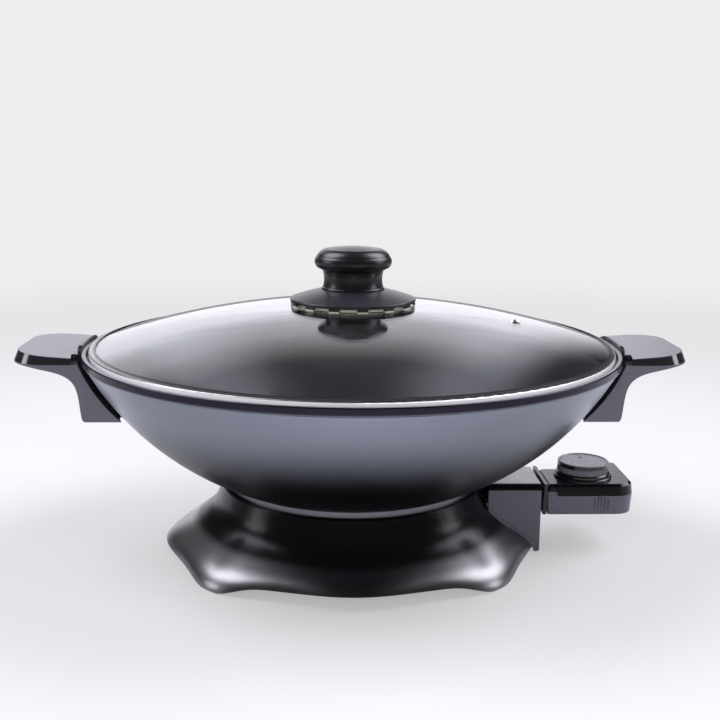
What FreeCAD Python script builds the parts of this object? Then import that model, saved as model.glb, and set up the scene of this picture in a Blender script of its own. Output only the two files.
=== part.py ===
import FreeCAD, Part
import math
import os

V = FreeCAD.Vector

# Electric wok, millimetres. Origin on the table under the bowl's axis, +Z up, +X to the control.

# ---- bowl ----
rim_radius = 170.0          # outside of the rim band
rim_top = 133.8             # rim above the table
band_height = 5.2           # height of the band round the rim
lip_width = 2.8             # raised lip outside the lid's ledge
ledge_drop = 3.4            # ledge below the top of the lip
wall_top_radius = 169.0     # outer wall where it meets the band
foot_ring_radius = 82.0
foot_ring_width = 3.4
foot_ring_bottom = 41.0     # where the bowl stands on the base
wall_foot = 48.2            # height at which the wall leaves the foot ring
wall_bulge = 10.1           # how far the wall bows out from its chord
bowl_wall = 3.0
mouth_radius = 161.2        # upright inner wall under the ledge
cast_floor = 35.5           # flat underside that carries the element
floor_height = 39.4         # flat cooking floor
floor_blend = 60.0          # radius between floor and wall
cast_floor_radius = 64.0
stud_boss_radius = 8.0
stud_boss_bottom = 28.5
stud_depth = 36.9           # top of the blind hole for the centre bolt

# ---- lid ----
lid_radius = 165.6          # outside of the steel band
glass = 3.6
glass_edge_radius = 164.7
dome_top = 161.0
dome_edge_top = 135.1       # top of the glass at its edge
band_metal = 0.7
joint_gap = 0.3             # air between parts that move on each other
vent_radius = 3.0
vent_at = (102.0, -16.0)

# ---- knob ----
flange_radius = 40.2
flange_edge_top = 164.0
tooth_count = 14
tooth_width = 6.7
tooth_phase = 7.2           # degrees off the front
neck_radius = 19.2
neck_bottom = 171.4
cap_radius = 24.6
cap_top = 196.8
knob_screw_radius = 2.5
gasket_radius = 36.8

# ---- handles ----
handle_top = 131.8          # top face at its root; it rises outward
handle_rise = 0.075
handle_reach = 211.4
handle_half_width = 40.0
handle_corner = 24.0
bevel_start = 127.7         # lower edge of the polished band round the top
bevel_inset = 1.0
bevel_end_inset = 2.8
leg_bottom = 92.0
collar_radius = 172.6       # outside of the spacer round the rim
collar_top = 136.0
collar_foot_radius = 148.2
collar_half_width = 28.0
collar_corner = 11.0        # rounding of the spacer's upper corners
screw_height = 108.0
handle_screw_radius = 2.0
handle_boss_radius = 7.0
handle_boss_end = 160.5
screw_tip = 155.4
root_half_width = 27.0      # beyond this a slot parts the top from the spacer
root_slot = 3.6
screw_seat = 165.6          # where the screw's head bears in the leg

# ---- base ----
base_top = 44.0             # collar lip that the bowl stands in
skirt_rows = [(0.0, 117.0), (8.0, 114.3), (16.0, 105.3), (24.0, 95.2),
              (32.0, 89.2), (40.0, 86.4), (44.0, 85.2)]     # height, mean radius
skirt_wall = 2.2
side_stretch = 5.0          # the base is a little longer along X than along Y
foot_lobe = 3.1             # depth of the soft lobes round the foot
lobe_fade = 2.4             # how fast the lobes die out upward
skirt_foot = 0.5            # moulded edge above the table at the feet
front_arch = 8.7            # clearance under the front and back
front_arch_half = 82.0
side_arch = 4.4             # clearance under the sides
side_arch_half = 78.0
arch_shape = [(1.0, 0.0), (0.95, 0.12), (0.9, 0.29), (0.85, 0.46), (0.78, 0.66), (0.69, 0.8),
              (0.55, 0.86), (0.37, 0.92), (0.18, 0.98), (0.0, 1.0)]    # share of half span, of rise
foot_angle = 45.0
pad_radius = 8.0
pad_height = 4.0
pad_circle = 101.0
post_circle = 79.5
post_radius = 4.5
plate_bottom = 12.0
plate_metal = 1.2
plate_radius = 88.0
base_screw_radius = 2.0
panel_raise = 0.5           # raised shield on the front and back

# ---- heating and socket ----
socket_y = -2.5             # axis of probe, socket and dial
probe_height = 31.6
element_circle = 55.0
element_radius = 3.9
element_bend = 10.0
pin_offset = 9.6
pin_radius = 2.4
pin_start = 84.0
pin_end = 114.0
well_radius = 3.9
well_bore = 3.1
well_start = 20.0
block_start = 97.4
block_end = 101.4
housing_end = 122.2
housing_half_width = 21.5
housing_top = 45.6
housing_wall = 2.6
window_half_width = 18.0

# ---- control ----
control_start = 126.4
control_end = 185.0
control_front = -23.0
control_back = 29.0
neck_back = 14.0            # the plug end is narrower at the back
control_bottom = 25.0
control_split = 37.6
control_top = 45.2
control_wall = 2.2
control_draft = 1.0         # the case narrows this much toward its underside
collar_start = 124.1
probe_radius = 3.0
probe_tip = 32.0
dial_at = (153.7, socket_y)
dial_radius = 16.6
dial_top = 56.0
dial_bottom = 47.3
bezel_radius = 18.8
rib_count = 60
shaft_radius = 2.95
gland_at = (170.0, 31.3)    # x and height of the cord gland on the back face
gland_bore = 3.3

up = V(0, 0, 1)
along_x = V(1, 0, 0)
along_y = V(0, 1, 0)
origin = V(0, 0, 0)


# ---------------------------------------------------------------- helpers

def side_outline(start, steps):
    """Closed edges in the XZ plane: a step is a point, or a pair (via, end) for an arc."""
    edges = []
    here = start
    for step in steps + [start]:
        if isinstance(step[0], tuple):
            via, end = step
            edges.append(Part.Arc(V(here[0], 0, here[1]), V(via[0], 0, via[1]),
                                  V(end[0], 0, end[1])).toShape())
            here = end
        elif math.dist(here, step) > 1e-6:
            edges.append(Part.LineSegment(V(here[0], 0, here[1]), V(step[0], 0, step[1])).toShape())
            here = step
    return edges


def turned(start, *steps):
    """Solid of revolution about Z from (radius, height) points and arcs."""
    face = Part.Face(Part.Wire(side_outline(start, list(steps))))
    return face.revolve(origin, up, 360)


def crown(radius, edge, top):
    """Arc step of a shallow cap centred on the axis, from (radius, edge) to (0, top)."""
    circle = (radius ** 2 + (top - edge) ** 2) / (2 * (top - edge))
    half = radius / 2
    return (half, top - circle + math.sqrt(circle ** 2 - half ** 2)), (0, top)


def slab(start, steps, half_width, middle=0.0):
    """A side outline pulled along Y, evenly about the given middle."""
    face = Part.Face(Part.Wire(side_outline(start, list(steps))))
    face.translate(V(0, middle - half_width, 0))
    return face.extrude(V(0, 2 * half_width, 0))


def box(low, high):
    return Part.makeBox(high[0] - low[0], high[1] - low[1], high[2] - low[2], V(*low))


def rod(radius, start, end):
    """Cylinder between two points."""
    direction = V(*end) - V(*start)
    return Part.makeCylinder(radius, direction.Length, V(*start), direction)


def tube(radius, bore, start, end):
    return rod(radius, start, end).cut(rod(bore, start, end))


def polar(radius, degrees, height=0.0):
    angle = math.radians(degrees)
    return V(radius * math.cos(angle), radius * math.sin(angle), height)


def at_feet(shape):
    """Four copies of a shape, turned from the X axis to the four diagonals."""
    copies = []
    for quarter in range(4):
        copy = shape.copy()
        copy.rotate(origin, up, foot_angle + 90 * quarter)
        copies.append(copy)
    return copies


def mirrored(shape):
    return shape.mirror(origin, along_x)


def rounded_outline(corners, height):
    """Closed wire through (x, y, radius) corners at a height."""
    count = len(corners)
    edges = []
    joints = []
    for i, (x, y, radius) in enumerate(corners):
        point = V(x, y, height)
        before = V(corners[i - 1][0], corners[i - 1][1], height)
        after = V(corners[(i + 1) % count][0], corners[(i + 1) % count][1], height)
        to_before = (before - point).normalize()
        to_after = (after - point).normalize()
        half = to_before.getAngle(to_after) / 2
        reach = radius / math.tan(half)
        middle = (to_before + to_after).normalize() * (radius / math.sin(half) - radius)
        joints.append((point + to_before * reach, point + middle, point + to_after * reach))
    for i, (arc_start, via, arc_end) in enumerate(joints):
        edges.append(Part.Arc(arc_start, via, arc_end).toShape())
        edges.append(Part.LineSegment(arc_end, joints[(i + 1) % count][0]).toShape())
    return Part.Wire(edges)


def prism(wire, height):
    return Part.Face(wire).extrude(V(0, 0, height))


# ---------------------------------------------------------------- bowl

def circle_through(first, last, bulge):
    """Centre, radius and middle point of the arc that bows out and down from its chord."""
    across = last[0] - first[0]
    rise = last[1] - first[1]
    chord = math.hypot(across, rise)
    radius = (chord * chord / 4 + bulge * bulge) / (2 * bulge)
    outward = (rise / chord, -across / chord)
    middle = ((first[0] + last[0]) / 2, (first[1] + last[1]) / 2)
    centre = (middle[0] - outward[0] * (radius - bulge), middle[1] - outward[1] * (radius - bulge))
    via = (middle[0] + outward[0] * bulge, middle[1] + outward[1] * bulge)
    return centre, radius, via


band_bottom = rim_top - band_height
ledge = rim_top - ledge_drop
wall_start = (foot_ring_radius, wall_foot)
wall_end = (wall_top_radius, band_bottom)
wall_centre, wall_circle, wall_via = circle_through(wall_start, wall_end, bulge=wall_bulge)


def wall_radius(height, inside=0.0):
    """Radius of the bowl's outer wall, or of a surface that far inside it."""
    return wall_centre[0] + math.sqrt((wall_circle - inside) ** 2 - (height - wall_centre[1]) ** 2)


def wall_height(radius, inside=0.0):
    return wall_centre[1] - math.sqrt((wall_circle - inside) ** 2 - (radius - wall_centre[0]) ** 2)


def bowl_hollow(top):
    """The space inside the bowl: flat floor, blend, side arc, upright near the mouth."""
    circle = wall_circle - bowl_wall
    blend_height = floor_height + floor_blend
    blend_drop = wall_centre[1] - blend_height
    blend_at = wall_centre[0] + math.sqrt((circle - floor_blend) ** 2 - blend_drop ** 2)
    share = circle / (circle - floor_blend)
    blend_end = (wall_centre[0] + (blend_at - wall_centre[0]) * share,
                 wall_centre[1] - blend_drop * share)
    turn = math.asin((blend_end[0] - blend_at) / floor_blend) / 2
    blend_via = (blend_at + floor_blend * math.sin(turn), blend_height - floor_blend * math.cos(turn))
    side_end = (mouth_radius, wall_height(mouth_radius, bowl_wall))
    side_via_height = (blend_end[1] + side_end[1]) / 2
    side_via = (wall_radius(side_via_height, bowl_wall), side_via_height)
    return turned((0, floor_height), (blend_at, floor_height), (blend_via, blend_end),
                  (side_via, side_end), (mouth_radius, top), (0, top))


def wok_bowl():
    ring_inside = foot_ring_radius - foot_ring_width
    step_radius = rim_radius - lip_width
    body = turned(
        (0, cast_floor), (cast_floor_radius, cast_floor), (cast_floor_radius + 6, cast_floor + 4.5),
        (ring_inside, cast_floor + 9), (ring_inside, foot_ring_bottom),
        (foot_ring_radius, foot_ring_bottom), wall_start, (wall_via, wall_end),
        (rim_radius, band_bottom + 0.6), (rim_radius, rim_top - 0.6),
        ((rim_radius - 0.2, rim_top - 0.2), (rim_radius - 0.6, rim_top)),
        (step_radius + 0.5, rim_top), (step_radius, rim_top - 0.5), (step_radius, ledge), (0, ledge))
    for side in (-1, 1):
        boss = rod(handle_boss_radius, (side * 146, 0, screw_height),
                   (side * handle_boss_end, 0, screw_height))
        body = body.fuse(boss)
    body = body.fuse(rod(stud_boss_radius, (0, 0, stud_boss_bottom), (0, 0, cast_floor)))
    body = body.cut(bowl_hollow(rim_top + 1))
    body = body.cut(rod(3.0, (0, 0, stud_boss_bottom), (0, 0, stud_depth)))
    for side in (-1, 1):
        body = body.cut(rod(handle_screw_radius, (side * screw_tip, 0, screw_height),
                            (side * handle_boss_end, 0, screw_height)))
    return body.removeSplitter()


# ---------------------------------------------------------------- handles

def collar_face(clearance=0.0):
    """Outer face of the spacer as (start, arc) from the rim down to its foot."""
    return ((collar_radius + clearance, 128.0),
            ((165.0 + clearance, 112.5), (collar_foot_radius + clearance, leg_bottom)))


def handle_collar():
    """Spacer between handle and bowl: it hugs the rim band and the wall below it."""
    face_start, face_arc = collar_face()
    foot = wall_radius(leg_bottom)
    via_height = (leg_bottom + band_bottom) / 2
    body = turned((collar_radius, collar_top - 0.8),
                  face_start, face_arc, (foot, leg_bottom),
                  ((wall_radius(via_height), via_height), (wall_top_radius, band_bottom)),
                  (rim_radius, band_bottom), (rim_radius, collar_top),
                  (collar_radius - 0.8, collar_top))
    front = rounded_outline([(-collar_half_width, leg_bottom - 2, 0.5),
                             (collar_half_width, leg_bottom - 2, 0.5),
                             (collar_half_width, collar_top, collar_corner),
                             (-collar_half_width, collar_top, collar_corner)], 100)
    front = prism(front, 100)
    front.rotate(origin, V(1, 1, 1), 120)
    body = body.common(front)
    body = body.cut(rod(handle_boss_radius, (146, 0, screw_height), (handle_boss_end, 0, screw_height)))
    body = body.cut(rod(handle_screw_radius, (150, 0, screw_height), (180, 0, screw_height)))
    return body


def handle_plan(side_inset, end_inset, height):
    """Top outline of the handle: straight sides and a broad rounded end."""
    width = handle_half_width - side_inset
    reach = handle_reach - end_inset
    corner = handle_corner - side_inset
    return rounded_outline([(130, -width, 1.0), (reach, -width, corner), (reach, width, corner),
                            (130, width, 1.0)], height)


def tilted(outline):
    """The outline laid into the rising top face."""
    lean = FreeCAD.Matrix()
    lean.A31 = handle_rise
    lean.A34 = handle_top - handle_rise * collar_radius
    return outline.transformGeometry(lean)


def handle_side():
    """Side view: rising top, curved underside that sweeps down into the leg."""
    under = Part.BSplineCurve()
    under.interpolate([V(handle_reach, 0, 127.1), V(198.0, 0, 126.1), V(186.0, 0, 123.9),
                       V(177.4, 0, 121.2), V(171.7, 0, 117.0), V(168.6, 0, 109.5),
                       V(166.4, 0, leg_bottom + 1.4)])
    corners = [V(166.4, 0, leg_bottom + 1.4), V(165.2, 0, leg_bottom), V(130, 0, leg_bottom),
               V(130, 0, top_face(130)), V(handle_reach, 0, top_face(handle_reach)),
               V(handle_reach, 0, 127.1)]
    edges = [under.toShape()]
    for first, second in zip(corners, corners[1:]):
        edges.append(Part.LineSegment(first, second).toShape())
    face = Part.Face(Part.Wire(edges))
    face.translate(V(0, -60, 0))
    return face.extrude(V(0, 120, 0))


def top_face(x):
    return handle_top + handle_rise * (x - collar_radius)


def handle():
    blank = handle_side().common(prism(handle_plan(0.0, 0.0, 80), 70))
    below = blank.common(box((100, -60, 80), (230, 60, bevel_start)))
    top_outline = tilted(handle_plan(bevel_inset, bevel_end_inset, 0))
    band = Part.makeLoft([handle_plan(0.0, 0.0, bevel_start), top_outline], True, True)
    slot_end = collar_radius + root_slot
    band = band.cut(rod(slot_end, (0, 0, 80), (0, 0, 150)))
    root = blank.common(box((100, -root_half_width, 120), (slot_end + 1, root_half_width, 150)))
    slot_middle = math.sqrt((slot_end - root_slot / 2) ** 2 - root_half_width ** 2)
    for side in (-1, 1):
        root = root.cut(rod(root_slot / 2, (slot_middle, side * root_half_width, bevel_start),
                            (slot_middle, side * root_half_width, 150)))
    body = below.fuse([band, root])
    face_start, face_arc = collar_face()
    body = body.cut(turned((0, 140), (collar_radius, 140), face_start, face_arc,
                           (collar_foot_radius, 80), (0, 80)))
    pocket = [(161.6, leg_bottom), (164.4, 106), (168.0, 114.5), (167.2, 114.5), (159.4, 100)]
    for side in (-1, 1):
        body = body.cut(slab((152.6, leg_bottom), pocket, 13.5, side * 22.5))
    body = body.cut(rod(handle_boss_radius + joint_gap, (140, 0, screw_height),
                        (handle_boss_end + joint_gap, 0, screw_height)))
    body = body.cut(rod(handle_screw_radius, (150, 0, screw_height), (180, 0, screw_height)))
    body = body.cut(rod(4.2, (screw_seat, 0, screw_height), (185, 0, screw_height)))
    return body.removeSplitter()


def handle_screws():
    screws = []
    for side in (-1, 1):
        shank = rod(handle_screw_radius, (side * screw_tip, 0, screw_height),
                    (side * screw_seat, 0, screw_height))
        head = rod(3.9, (side * screw_seat, 0, screw_height), (side * (screw_seat + 2.4), 0, screw_height))
        face = side * (screw_seat + 2.4)
        slot = rod(0.5, (face, -5, screw_height), (face, 5, screw_height))
        screws.append(shank.fuse(head).cut(slot))
    return Part.makeCompound(screws)


# ---------------------------------------------------------------- lid

dome_rise = dome_top - dome_edge_top
dome_circle = (glass_edge_radius ** 2 + dome_rise ** 2) / (2 * dome_rise)


def dome_height(radius, below=0.0):
    """Height of the glass's top face, or of a face that far below it."""
    return dome_top - dome_circle + math.sqrt(dome_circle ** 2 - radius ** 2) - below


def lid_glass():
    half = glass_edge_radius / 2
    hole = 5.0
    body = turned((hole, dome_height(hole)),
                  ((half, dome_height(half)), (glass_edge_radius, dome_edge_top)),
                  (glass_edge_radius, dome_edge_top - glass),
                  ((half, dome_height(half, glass)), (hole, dome_height(hole, glass))))
    return body.cut(rod(vent_radius, (vent_at[0], vent_at[1], 140), (vent_at[0], vent_at[1], 160)))


def lid_rim_band():
    """Rolled steel channel closed round the edge of the glass."""
    inner = 161.6
    outside = lid_radius
    glass_bottom = dome_edge_top - glass
    top = dome_edge_top + band_metal
    band = turned((inner, dome_height(inner, glass) - band_metal),
                  (glass_edge_radius, glass_bottom - band_metal),
                  ((outside - 0.2, glass_bottom - 0.5), (outside, glass_bottom)),
                  (outside, dome_edge_top - 0.2),
                  ((outside - 0.25, top - 0.25), (glass_edge_radius - 0.2, top)),
                  (inner, dome_height(inner) + band_metal), (inner, dome_height(inner)),
                  (glass_edge_radius, dome_edge_top), (glass_edge_radius, glass_bottom),
                  (inner, dome_height(inner, glass)))
    return band.cut(lid_glass())


def vent_grommet():
    """Eyelet pressed through the glass: a lip above, a tube and a lip below."""
    height = dome_height(math.hypot(*vent_at))
    eyelet = turned((1.9, height - glass - 0.6), (3.6, height - glass - 0.6), (3.6, height - glass - 0.2),
                    (vent_radius, height - glass), (vent_radius, height), (3.6, height + 0.35),
                    ((2.9, height + 1.1), (2.1, height + 0.8)), (1.9, height + 0.4))
    eyelet.translate(V(vent_at[0], vent_at[1], 0))
    return eyelet.cut(lid_glass())


def knob_flange():
    """Wide disc that stands on short teeth on the glass."""
    edge_bottom = flange_edge_top - 1.9
    hub_bottom = dome_top + 1.2
    body = turned((knob_screw_radius, hub_bottom), (12, hub_bottom), (15, 165.4), (34, 163.4),
                  (flange_radius - 2.0, edge_bottom), (flange_radius - 0.4, edge_bottom),
                  ((flange_radius, edge_bottom + 0.8), (flange_radius - 0.3, flange_edge_top)),
                  ((31.0, 166.9), (20.6, 169.6)), (knob_screw_radius, 169.6))
    for index in range(tooth_count):
        turn = tooth_phase - 90 + index * 360 / tooth_count
        ring = turned((flange_radius - 2.0, 158), (flange_radius - 0.3, 158),
                      (flange_radius - 0.3, 163), (flange_radius - 2.0, 163))
        tooth = box((30, -tooth_width / 2, 158), (50, tooth_width / 2, 163)).common(ring)
        tooth.rotate(origin, up, turn)
        body = body.fuse(tooth)
    top_of_glass = turned((0, 150), (50, 150), (50, dome_height(50)),
                          ((25, dome_height(25)), (0, dome_top)))
    return body.cut(top_of_glass).removeSplitter()


def knob_trim_ring():
    return turned((12, 169.6), (20.0, 169.6), ((20.1, 170.5), (19.5, 171.2)), (19.0, neck_bottom),
                  (12, neck_bottom))


def knob_grip():
    """Mushroom grip: waisted neck under a cap with a soft round edge."""
    body = turned((0, neck_bottom), (neck_radius, neck_bottom),
                  ((neck_radius - 0.6, 176.4), (neck_radius + 0.2, 181.4)),
                  ((21.0, 182.6), (23.0, 183.6)), ((cap_radius, 186.9), (23.4, 190.6)),
                  ((20.6, 194.0), (15.4, cap_top - 1.4)), crown(15.4, cap_top - 1.4, cap_top))
    return body.cut(rod(knob_screw_radius, (0, 0, neck_bottom), (0, 0, 186)))


def knob_gasket():
    """Silicone disc that follows the glass under the flange, with a sleeve through the glass."""
    edge = dome_height(gasket_radius) + 0.25
    ring = turned((knob_screw_radius, dome_top), (11.0, dome_top), (12.0, dome_height(12.0) + 0.25),
                  ((24.0, dome_height(24.0) + 0.25), (gasket_radius, edge)), (gasket_radius, edge + 1.6),
                  (11.0, dome_top + 1.2), (knob_screw_radius, dome_top + 1.2))
    sleeve = tube(5.0, knob_screw_radius, (0, 0, dome_top - glass), (0, 0, dome_top))
    return ring.fuse(sleeve).removeSplitter()


def knob_washer():
    top = dome_top - glass
    return turned((knob_screw_radius, top - 1.6), (9.4, top - 1.6), ((10.6, top - 1.2), (11, top - 0.5)),
                  (11, top - 0.12), (knob_screw_radius, top))


def knob_screw():
    seat = dome_top - glass - 1.6
    head = turned((0, seat - 2.6), (2.0, seat - 2.6), ((4.0, seat - 1.8), (4.6, seat)), (0, seat))
    slot = box((-5, -0.5, seat - 3), (5, 0.5, seat - 1.6))
    return rod(knob_screw_radius, (0, 0, seat), (0, 0, 186)).fuse(head).cut(slot)


# ---------------------------------------------------------------- base

def skirt_solid(inset):
    """The lobed bell of the base as a full solid, moved inward by the inset."""
    rings = []
    for height, mean in skirt_rows:
        spread = ((base_top - height) / base_top) ** lobe_fade
        points = []
        for step in range(48):
            angle = 2 * math.pi * step / 48
            radius = mean - inset + spread * (side_stretch * math.cos(2 * angle)
                                              + foot_lobe * math.cos(8 * angle))
            points.append(V(radius * math.cos(angle), radius * math.sin(angle), height))
        curve = Part.BSplineCurve()
        curve.interpolate(Points=points, PeriodicFlag=True)
        rings.append(Part.Wire(curve.toShape()))
    return Part.makeLoft(rings, True, False)


def arch(half_span, clearance):
    """Tunnel along Y whose roof follows the arch shape on both sides."""
    rise = clearance - skirt_foot
    right = [V(across * half_span, 0, skirt_foot + share * rise) for across, share in arch_shape]
    left = [V(-point.x, 0, point.z) for point in reversed(right[:-1])]
    roof = Part.BSplineCurve()
    roof.interpolate(right + left)
    edges = [roof.toShape()]
    ends = [V(-half_span, 0, skirt_foot), V(-half_span, 0, -5), V(half_span, 0, -5),
            V(half_span, 0, skirt_foot)]
    for first, second in zip(ends, ends[1:]):
        edges.append(Part.LineSegment(first, second).toShape())
    face = Part.Face(Part.Wire(Part.__sortEdges__(edges)))
    face.translate(V(0, -200, 0))
    return face.extrude(V(0, 400, 0))


def shield():
    """Raised panel on the front and the back, bounded below by one wide arc."""
    face = slab((-48, 33.0), [((0, 14.2), (48, 33.0)), (50, 40.0), (-50, 40.0)], 200)
    below_lip = box((-60, -200, 0), (60, 200, 40))
    return skirt_solid(-panel_raise).common(face).common(below_lip)


def skirt_room():
    """Hollow of the base round its screw posts, foot bosses and the bowl's seat."""
    room = skirt_solid(skirt_wall)
    room = room.cut(turned((foot_ring_radius - 8.4, 37.5), (95, 37.5), (95, foot_ring_bottom),
                           (foot_ring_radius - 8.4, foot_ring_bottom)))
    post_start = plate_bottom + plate_metal
    for post in at_feet(rod(post_radius, (post_circle, 0, post_start), (post_circle, 0, 38))):
        room = room.cut(post)
    for boss in at_feet(rod(pad_radius + 1, (pad_circle, 0, pad_height), (pad_circle, 0, 34))):
        room = room.cut(boss)
    return room


def base_skirt():
    body = skirt_solid(0.0).fuse(shield()).cut(skirt_room())
    side_tunnel = arch(side_arch_half, side_arch)
    side_tunnel.rotate(origin, up, 90)
    body = body.cut(arch(front_arch_half, front_arch)).cut(side_tunnel)
    body = body.cut(box((-200, -200, -5), (200, 200, skirt_foot)))
    body = body.cut(turned((0, foot_ring_bottom), (foot_ring_radius + 0.8, foot_ring_bottom),
                           (foot_ring_radius + 0.8, 60), (0, 60)))
    for hole in at_feet(rod(base_screw_radius, (post_circle, 0, 5), (post_circle, 0, 28))):
        body = body.cut(hole)
    for hole in at_feet(rod(3.0, (pad_circle, 0, pad_height - 1), (pad_circle, 0, pad_height + 5))):
        body = body.cut(hole)
    for pad in at_feet(rod(pad_radius, (pad_circle, 0, 0), (pad_circle, 0, pad_height))):
        body = body.cut(pad)
    window = box((60, socket_y - window_half_width, 26.4), (110, socket_y + window_half_width, 37.2))
    return body.cut(window)


def rubber_feet():
    pad = turned((0, 0), (pad_radius - 0.6, 0), (pad_radius, 0.6), (pad_radius, pad_height),
                 (3.0, pad_height), (3.0, pad_height + 5), (0, pad_height + 5))
    pad.translate(V(pad_circle, 0, 0))
    return Part.makeCompound(at_feet(pad))


def base_plate():
    """Pressed steel plate with a turned-up edge, vent slots and a centre hole."""
    top = plate_bottom + plate_metal
    body = turned((3.2, plate_bottom), (plate_radius - 1, plate_bottom),
                  ((plate_radius - 0.3, plate_bottom + 0.3), (plate_radius, plate_bottom + 1)),
                  (plate_radius, 17), (plate_radius - plate_metal, 17), (plate_radius - plate_metal, top),
                  (3.2, top))
    cutters = at_feet(rod(base_screw_radius, (post_circle, 0, 0), (post_circle, 0, 20)))
    for index in range(12):
        slot = rod(2.2, (38, 0, 0), (38, 0, 20)).fuse([rod(2.2, (60, 0, 0), (60, 0, 20)),
                                                      box((38, -2.2, 0), (60, 2.2, 20))])
        slot.rotate(origin, up, 15 + 30 * index)
        cutters.append(slot)
    for cutter in cutters:
        body = body.cut(cutter)
    return body


def base_screws():
    seat = plate_bottom
    screw = turned((0, seat - 2.2), (1.8, seat - 2.2), ((3.1, seat - 1.6), (3.6, seat)),
                   (base_screw_radius, seat),
                   (base_screw_radius, 27), (0, 28))
    screw = screw.cut(box((-2.2, -0.45, seat - 3), (2.2, 0.45, seat - 1.2)))
    screw.translate(V(post_circle, 0, 0))
    return Part.makeCompound(at_feet(screw))


def centre_bolt():
    return rod(3.0, (0, 0, 5.4), (0, 0, stud_depth))


def centre_washer():
    return tube(8.0, 3.0, (0, 0, plate_bottom - 1.2), (0, 0, plate_bottom))


def centre_nut():
    top = plate_bottom - 1.2
    corners = [polar(5.8, 60 * i, top - 4.8) for i in range(7)]
    return prism(Part.makePolygon(corners), 4.8).cut(rod(3.0, (0, 0, 0), (0, 0, 20)))


def centre_spacer():
    return tube(6.5, 3.0, (0, 0, plate_bottom + plate_metal), (0, 0, stud_boss_bottom - 0.8))


def heat_shield():
    """Dished reflector clamped between the spacer and the bowl's boss."""
    hub = stud_boss_bottom - 0.8
    return turned((3.0, hub), (10, hub), (17, 18.2), (65, 18.2), (71, 23.6), (71, 24.4), (64.7, 19),
                  (17.5, 19), (10.5, stud_boss_bottom), (3.0, stud_boss_bottom))


# ---------------------------------------------------------------- heating

def element_leg(side):
    """Bend from the ring into the straight leg of one side, as (ring point, via, leg start)."""
    leg_y = socket_y + side * pin_offset
    centre_y = leg_y + side * element_bend
    centre_x = math.sqrt((element_circle + element_bend) ** 2 - centre_y ** 2)
    share = element_circle / (element_circle + element_bend)
    ring_point = V(centre_x * share, centre_y * share, 0)
    leg_start = V(centre_x, leg_y, 0)
    centre = V(centre_x, centre_y, 0)
    via = centre + ((ring_point - centre) + (leg_start - centre)).normalize() * element_bend
    return ring_point, via, leg_start


def heating_element():
    """Ring element whose two ends bend outward into parallel legs."""
    upper_ring, upper_via, upper_leg = element_leg(1)
    lower_ring, lower_via, lower_leg = element_leg(-1)
    path = Part.Wire([
        Part.LineSegment(V(pin_start, upper_leg.y, 0), upper_leg).toShape(),
        Part.Arc(upper_leg, upper_via, upper_ring).toShape(),
        Part.Arc(upper_ring, V(-element_circle, 0, 0), lower_ring).toShape(),
        Part.Arc(lower_ring, lower_via, lower_leg).toShape(),
        Part.LineSegment(lower_leg, V(pin_start, lower_leg.y, 0)).toShape()])
    section = Part.Wire(Part.makeCircle(element_radius, V(pin_start, upper_leg.y, 0), along_x))
    body = path.makePipeShell([section], True, False)
    body.translate(V(0, 0, probe_height))
    return body


def terminal_pins():
    pins = []
    for side in (-1, 1):
        y = socket_y + side * pin_offset
        pin = rod(pin_radius, (pin_start, y, probe_height), (pin_end - 1.5, y, probe_height))
        tip = Part.makeCone(pin_radius, pin_radius - 0.9, 1.5, V(pin_end - 1.5, y, probe_height), along_x)
        pins.append(pin.fuse(tip).removeSplitter())
    return Part.makeCompound(pins)


def thermowell():
    return tube(well_radius, well_bore, (well_start, socket_y, probe_height),
                (block_end, socket_y, probe_height))


def terminal_block():
    inner = housing_half_width - housing_wall
    body = box((block_start, socket_y - inner, 24.4), (block_end, socket_y + inner, 43.0))
    body = body.cut(rod(well_radius, (80, socket_y, probe_height), (110, socket_y, probe_height)))
    for side in (-1, 1):
        y = socket_y + side * pin_offset
        body = body.cut(rod(pin_radius, (80, y, probe_height), (110, y, probe_height)))
    return body


def socket_housing():
    """Hood round the plug: it sits on the curve of the skirt and reaches down beside it."""
    low = socket_y - housing_half_width
    high = socket_y + housing_half_width
    outside = skirt_solid(0.0)
    hood = box((80, low, 0.8), (housing_end, high, housing_top))
    long_edges = [edge for edge in hood.Edges
                  if abs(edge.BoundBox.ZMin - housing_top) < 1e-6 and edge.BoundBox.XLength > 10]
    hood = hood.makeFillet(4.0, long_edges)
    bead = box((80, low - 0.9, 0.8), (housing_end, high + 0.9, 36)).common(skirt_solid(-2.4))
    hood = hood.fuse(bead)
    socket = box((70, low + housing_wall, 24.4), (housing_end + 5, high - housing_wall, 43.0))
    hollow = box((70, low + housing_wall, -5), (housing_end - 2.6, high - housing_wall, 22.0))
    front_of_skirt = box((88, -60, 0), (housing_end + 5, 60, 60))
    return hood.common(front_of_skirt).cut(outside).cut(socket).cut(hollow).removeSplitter()


# ---------------------------------------------------------------- control

def control_outline(inset, height):
    """Plan of the control: plug end narrower at the back, one broad corner at the front."""
    left = control_start + inset
    right = control_end - inset
    front = control_front + inset
    back = control_back - inset
    step = 157.0 + inset
    shallow = neck_back - inset
    return rounded_outline([(left, front, 1.2), (right, front, 13.0 - inset), (right, back, 6.0 - inset),
                            (step, back, 6.0 - inset), (step, shallow, 4.0 + inset), (left, shallow, 1.2)],
                           height)


def control_body():
    """Whole case: upright sides, then a slightly drawn-in cover with a bevelled top edge."""
    shoulder = control_top - 1.6
    widest = control_outline(0.0, control_split)
    lower = Part.makeLoft([control_outline(control_draft, control_bottom), widest], True, True)
    sides = Part.makeLoft([control_outline(0.0, control_split), control_outline(0.9, shoulder)], True, True)
    top = Part.makeLoft([control_outline(0.9, shoulder), control_outline(2.6, control_top)], True, True)
    return lower.fuse([sides, top]).removeSplitter()


def control_cover_room():
    """Space of the cover: above the split, with a slanted end at the plug side."""
    return slab((133.4, control_split), [(200, control_split), (200, 60), (125.0, 60)], 80)


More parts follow.
